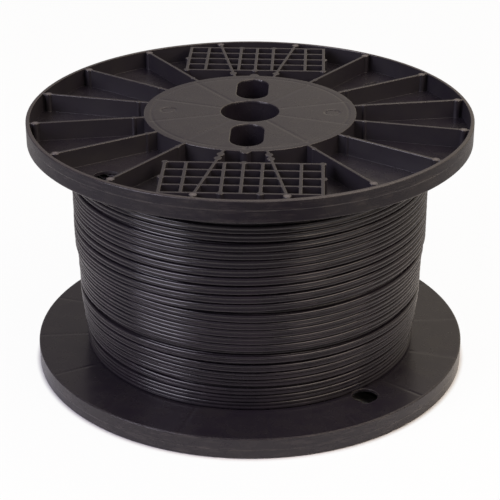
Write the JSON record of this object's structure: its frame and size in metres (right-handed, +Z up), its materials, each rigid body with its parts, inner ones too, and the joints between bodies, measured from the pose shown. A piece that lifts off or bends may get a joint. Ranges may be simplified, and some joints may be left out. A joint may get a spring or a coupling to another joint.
{
  "type": "wire spool",
  "caption": "Flanged plastic reel with ribbed flanges, a central arbor bore and drive slots, wound full with flat two-core cable.",
  "frame": {"origin": "centre of the face that the reel stands on, on the reel's axis", "axes": "+Z up along the reel's axis; the upper flange's two drive slots and two label grids lie on the Y axis"},
  "size_m": [0.3048, 0.3048, 0.1822],
  "materials": {
    "moulded_black": "injection-moulded, satin",
    "cable_jacket": "extruded PVC, semi-gloss",
    "copper": "bare stranded copper"
  },
  "bodies": {
    "root": {"upper_flange": "moulded_black", "lower_flange": "moulded_black", "barrel": "moulded_black", "cable_inner_layers": "cable_jacket", "cable_outer_layer": "cable_jacket", "cable_start_tail": "cable_jacket", "copper_conductors": "copper"}
  },
  "joints": []
}
